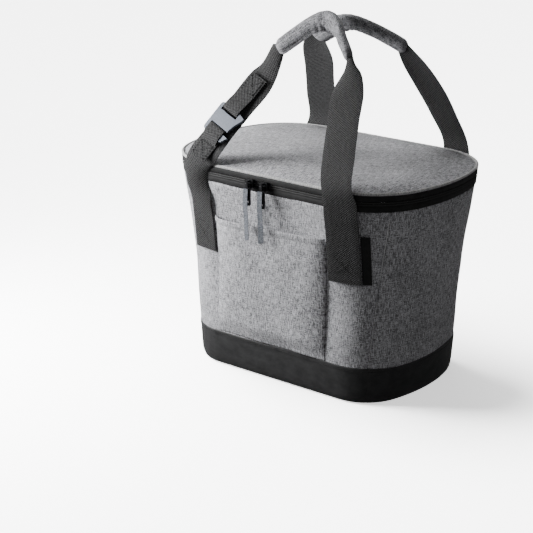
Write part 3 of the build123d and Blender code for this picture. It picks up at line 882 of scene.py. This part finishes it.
# Each strap's keys over its foot: (x, z, width, twist in degrees, curl, how far out of the leaning plane).
STRAP_KEYS = {
    ("front", -1): [
        (-89, 246, 41, 0, 0.15, -4), (-75, 274, 38, 0, 0.1, 0), (-61, 301, 38, 0, 0.0, 0),
        (-48, 330, 37, 0, 0.25, 0), (-46.5, 346, 31, -10, 1.0, 0), (-45, 364, 20, -6, 1.0, 0),
    ],
    ("front", 1): [
        (95, 246, 39, 0, 0.0, -4), (85, 274, 38, 0, 0.1, 0), (75, 303, 38, 0, 0.1, 0),
        (64.5, 333, 37, 0, 0.35, 0), (58, 346, 30, -10, 1.1, 0), (53.5, 355, 17, -25, 1.8, 0),
        (50, 363, 11, -35, 1.8, 0),
    ],
    ("back", -1): [
        (-93, 246, 40, 0, 0.1, -4), (-79, 280, 38, 0, 0.1, 0), (-62, 316, 38, 0, 0.2, 0),
        (-48, 348, 37, 0, 0.4, 0), (-40, 366, 24, 0, 0.9, 0),
    ],
    ("back", 1): [
        (96, 246, 33, 0, 0.1, -4), (93, 285, 35, 0, 0.1, 0), (89, 322, 37, 0, 0.3, 0),
        (83, 352, 31, 0, 0.8, 0), (77, 368, 19, 0, 0.9, 0),
    ],
}
# Every foot's keys: (z, how far out of the wall, curl where it is gathered).
FOOT_KEYS = [
    (FOOT_BOTTOM, 1.2, 0), (150, 1.2, 0), (180, 1.3, 0), (200, 1.9, 0.5), (FOOT_TOP, 3.0, 0.9), (230, 3.2, 0.8),
]
# One strap is gathered at its foot: narrower, nearer to the middle, cupped outward and turned over the rim.
GATHERED = ("front", -1)
GATHER, GATHER_ASIDE, GATHER_OUT = 6.0, 3.5, 2.0
GATHER_TWIST, TWIST_FROM = 14.0, 210.0
CROSS = (143.0, 172.0)  # the lowest and highest z of the box of stitches on a foot


def turned(way, across, degrees):
    angle = math.radians(degrees)
    return way * math.cos(angle) + across * math.sin(angle), across * math.cos(angle) - way * math.sin(angle)


def foot_keys(name, x_side):
    gathered = (name, x_side) == GATHERED
    keys = []
    for z, out, curl in FOOT_KEYS:
        if gathered:
            aside, width, twist = GATHER_ASIDE, STRAP_WIDTH - GATHER, GATHER_TWIST if z > TWIST_FROM else 0.0
            out += GATHER_OUT if curl else 0.0
        else:
            aside, width, twist, curl = 0.0, STRAP_WIDTH, 0.0, 0.0
        point, way, across = on_wall(x_side * (FOOT_X - aside), z, SIDES[name], out)
        keys.append([*point, *turned(way, across, twist)[1], width, STRAP, curl])
    return keys


def strap_rows(name, x_side):
    """The strap's foot and its free length as rows: place, the way across, width, thickness and curl."""
    side = SIDES[name]
    keys = foot_keys(name, x_side)
    for x, z, width, twist, curl, lift in STRAP_KEYS[name, x_side]:
        point, way = leaning(x, z, side)
        across = np.array([-side, 0.0, 0])
        if z > FOLD_HEIGHT:
            ahead = leaning(x + (x - keys[-1][0]) * 0.1, z + 3, side)[0] - np.array(keys[-1][:3])
            across = unit(np.cross(unit(ahead), way))
        across = turned(way, across, twist)[1]
        keys.append([*(point + way * lift), *across, width, STRAP, curl])
    return through(keys, 150)


def crossed_box(half, low, high):
    """The runs of a box of stitches with a cross in it: the two ends of each, as (across, along) places."""
    a, b, c, d = (-half, low), (half, low), (half, high), (-half, high)
    path = [a, b, c, d, a, c, b, d]
    return list(zip(path, path[1:]))


def make_strap(name, x_side, word):
    rows = strap_rows(name, x_side)
    split = int(np.argmin(np.abs(rows[:, 2] - FOOT_TOP)))
    parts = []
    for part, cut in (("foot", rows[:split + 1]), ("free", rows[split:])):
        parts.append(band(
            f"{name}_{word}_{part}_webbing", cut[:, :3], cut[:, 3:6], cut[:, 6], cut[:, 7], cut[:, 8], 11,
            (part == "foot", part == "free"),
        ))
    foot, free = parts
    dress(foot, "webbing", "base", replaces=(f"{name}_{word}_foot",))
    fold_down(foot)
    dress(free, "webbing", None, replaces=(f"{name}_{word}_strap",))
    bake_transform(free)


def make_foot_stitches(name, x_side, word):
    gathered = (name, x_side) == GATHERED
    x = x_side * (FOOT_X - (GATHER_ASIDE if gathered else 0))
    half = STRAP_WIDTH / 2 - 4 - (GATHER / 2 if gathered else 0)
    for number, (start, end) in enumerate(crossed_box(half, *CROSS)):
        found = [on_wall(x + dx, z, SIDES[name], 2.35) for dx, z in np.linspace(start, end, 12)]
        line, ways, _ = (np.array(part) for part in zip(*found))
        fold_down(stitches(f"{name}_{word}_cross_{number}", line, ways, "base"))


# Each grip's keys: (x, z, twist in degrees).
GRIP_LINE = {
    "front": [
        (-43, 360, 4), (-29, 372, 0), (-10, 387.5, 0), (5.5, 393, -15), (21, 388, -48), (37, 374.5, -66),
        (52.5, 361, -70),
    ],
    "back": [
        (-42, 365, 0), (-23, 375, 0), (-3, 384, 0), (17, 388.5, 0), (42, 383, 0), (62, 374, 0), (79, 365, 0),
    ],
}
GRIP_WIDE, GRIP_DEEP = 10.4, 5.4  # half of each
FLANGE = 2.6  # how far the sewn edge on the inner side stands out
GRIP_FOLDS = ((-16, 2.2, 0.7), (-7, 1.8, 1.3), (1, 1.6, 1.5), (8, 2.0, 1.2), (17, 2.4, 0.8))


def squared(wave):
    """A sine or cosine made a little squarer."""
    return np.sign(wave) * np.abs(wave) ** 0.85


def grip_pinch(at, turn):
    """How much the grip narrows at the folds inside its bend: (place, size, depth) from near its middle."""
    folds = np.zeros_like(at)
    for place, size, depth in GRIP_FOLDS:
        folds += depth * np.exp(-(((at - at[-1] * 0.47 - place) / size) ** 2))
    inside = 0.5 + 0.5 * np.cos(turn)
    return 1 - (folds[:, None] * (0.25 + 0.75 * inside[None, :])) * 0.075


def make_grip(name):
    side = SIDES[name]
    rows = through([[*leaning(x, z, side)[0], twist] for x, z, twist in GRIP_LINE[name]], 120)
    centre = rows[:, :3]
    way = leaning(0, 360, side)[1]
    along = unit(np.gradient(centre, axis=0))
    inner = unit(np.cross(along, way))
    if inner[len(inner) // 2][2] > 0:
        inner = -inner
    angle = np.radians(rows[:, 3])[:, None]
    flatwise = inner * np.cos(angle) + way * np.sin(angle)
    thin = unit(np.cross(along, flatwise))
    turn = np.linspace(0, 2 * math.pi, 44, endpoint=False)
    from_flange = np.minimum(turn, 2 * math.pi - turn)
    wide = GRIP_WIDE * squared(np.cos(turn)) + FLANGE * np.exp(-((from_flange / 0.33) ** 2))
    deep = GRIP_DEEP * squared(np.sin(turn)) * (1 - 0.55 * np.exp(-((from_flange / 0.5) ** 2)))
    at = running(centre)
    full = np.sin(np.clip(np.minimum(at, at[-1] - at) / 9 + 0.25, 0, 1) * math.pi / 2) ** 0.6
    size = full[:, None] * grip_pinch(at, turn)
    points = centre[:, None, :] + flatwise[:, None, :] * (wide[None, :] * size)[..., None]
    points = points + thin[:, None, :] * (deep[None, :] * size)[..., None]
    ways = unit(points - centre[:, None, :])
    points = ripple(points, ways, 20.0, 0.45, 11.0)
    loop = np.append(turn, 2 * math.pi) * 9.0
    cloth = np.stack(np.meshgrid(loop, at), axis=-1)
    piece = surface(f"{name}_grip_cover", points, cloth, wrap=True, caps=(True, True))
    hidden = (f"{name}_grip_sleeve", f"{name}_grip_core")
    dress(piece, "heather_fabric", f"{name}_handle", "grip_fabric", hidden)
    spot = int(np.argmin(np.abs(turn - 0.62)))
    for number, column in enumerate((spot, len(turn) - spot)):
        line, out = points[4:-4, column], ways[4:-4, column]
        thread = f"{name}_grip_thread_{number}"
        stitches(thread, line + out * 0.1, out, f"{name}_handle", "thread", 3.2, 2.2, 0.32)


NARROW_WIDTH = 25.0
NARROW_BEND = 2.4  # the narrow webbing's bend round a bar
LOWER_BAR = -9.8  # along the strap, from the middle of the buckle


def buckle_frame():
    """Where the buckle lies: the point of the strap under its middle, and the ways across, along and out."""
    joint = next(j for j in frame["joints"] if j["name"] == "hook_hinge")
    across = -unit(np.array(joint["axis"], float))
    out = leaning(0, 300, -1)[1]
    along = unit(np.cross(out, across))
    origin = np.array(joint["pos_m"]) / MM - out * BAR_OUT - along * BAR_ALONG
    return origin, across, along, out


def narrow_band(name, route, thickness, body, replaces):
    """Narrow webbing that follows a route of (along, out) places over the wide strap."""
    origin, across, along, out = buckle_frame()
    centre = through([origin + along * a + out * b for a, b in route], 90)
    sides = np.repeat(across[None, :], len(centre), axis=0)
    piece = band(name, centre, sides, NARROW_WIDTH, thickness)
    return dress(piece, "webbing", body, replaces=replaces)


def loop_round(bar, way):
    """Half a turn round a bar, as (along, out) places from its outer side to its inner one."""
    turn = np.linspace(0, math.pi, 9)
    return [(bar + way * NARROW_BEND * math.sin(a), BAR_OUT + NARROW_BEND * math.cos(a)) for a in turn]


def make_buckle_webbing():
    over_bar = BAR_OUT + NARROW_BEND
    upper = [(62, 2.5), (52, 2.5), (41, 2.55), (30, 4.1), (20, over_bar)] + loop_round(BAR_ALONG, -1)
    upper += [(20, 1.05), (30, 1.0), (41, 1.0), (62, 1.0)]
    narrow_band("buckle_webbing_upper", upper, 1.2, "front_handle", ("buckle_strap_upper",))
    lower = [(-26.5, 2.75), (-22.5, 4.3), (-19, over_bar), (-14, over_bar)]
    lower += loop_round(LOWER_BAR, 1) + [(-14, 1.05), (-20, 1.0), (-33, 1.1), (-47, 1.4)]
    piece = narrow_band("buckle_webbing_lower", lower, 1.3, None, ("buckle_loop", "buckle_strap_lower"))
    origin, across, along, out = buckle_frame()
    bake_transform(piece)
    for name, low, high, level in (("upper", 40.5, 59.5, 3.3), ("lower", -46, -29, 2.1)):
        for number, run in enumerate(crossed_box(10, low, high)):
            line = np.linspace(*(origin + across * c + along * d + out * level for c, d in run), 6)
            ways = np.repeat(out[None, :], len(line), axis=0)
            stitches(f"buckle_{name}_cross_{number}", line, ways, "front_handle")


TAG_X, TAG_WIDTH = 120.6, 10.0
TAG_KEYS = ((139, 1.4), (150, 1.0), (170, 1.2), (184, 1.6), (193, 1.3))  # (z, how far out of the wall)


def make_tag():
    keys = []
    for z, out in TAG_KEYS:
        point, _, across = on_wall(TAG_X, z, SIDES["front"], out)
        keys.append([*point, *across])
    rows = through(keys, 40)
    piece = band("side_label", rows[:, :3], rows[:, 3:6], TAG_WIDTH, 0.8, 0.2, 7)
    dress(piece, "woven_tag", "base", replaces=("side_tag",))
    fold_down(piece)


def make_handles():
    for name in ("front", "back"):
        for word, x_side in (("left", -1), ("right", 1)):
            make_strap(name, x_side, word)
            make_foot_stitches(name, x_side, word)
        make_grip(name)


# ---- the hard pieces, the floor and the end -----------------------------------------------------


# The metal pieces whose edges are rounded, and by how much.
ROUNDED = {"buckle": 0.7, "slider_left": 0.35, "slider_right": 0.35, "pull_left": 0.3, "pull_right": 0.3}


def finish_hard_pieces():
    """Gives every model node still on show its material, and rounds the metal's edges."""
    slots = {row["node"]: row["material_slot"] for row in frame["record"]["subparts"]}
    for name, obj in nodes.items():
        obj.data.materials.clear()
        obj.data.materials.append(materials[slots[name]])
    for name, width in ROUNDED.items():
        weld(nodes[name], 0.02)
        made = nodes[name].modifiers.new("round", "BEVEL")
        made.width = width * MM
        made.segments = 3
        made.limit_method = "ANGLE"


def make_floor(half=6.0):
    """The floor, and a sun that lights nothing else."""
    mesh = bpy.data.meshes.new("floor")
    corners = [(-half, -half, 0), (half, -half, 0), (half, half, 0), (-half, half, 0)]
    mesh.from_pydata(corners, [], [(0, 1, 2, 3)])
    floor = bpy.data.objects.new("floor", mesh)
    bpy.context.scene.collection.objects.link(floor)
    mesh.materials.append(materials["floor"])
    alone = bpy.data.collections.new("floor_alone")
    alone.objects.link(floor)
    data = bpy.data.lights.new("floor_sun", "SUN")
    data.energy, data.angle = 19.0, 0.7
    sun = bpy.data.objects.new("floor_sun", data)
    bpy.context.scene.collection.objects.link(sun)
    sun.light_linking.receiver_collection = alone
    point_at(sun, (-1.0, -0.15, 1.5), (0, 0, 0))


make_camera()
make_ribbons()
make_light()
make_walls()
make_boot()
make_inside()
make_floor_layers()
make_pocket()
make_rim()
make_lid()
make_handles()
make_buckle_webbing()
make_tag()
finish_hard_pieces()
make_floor()
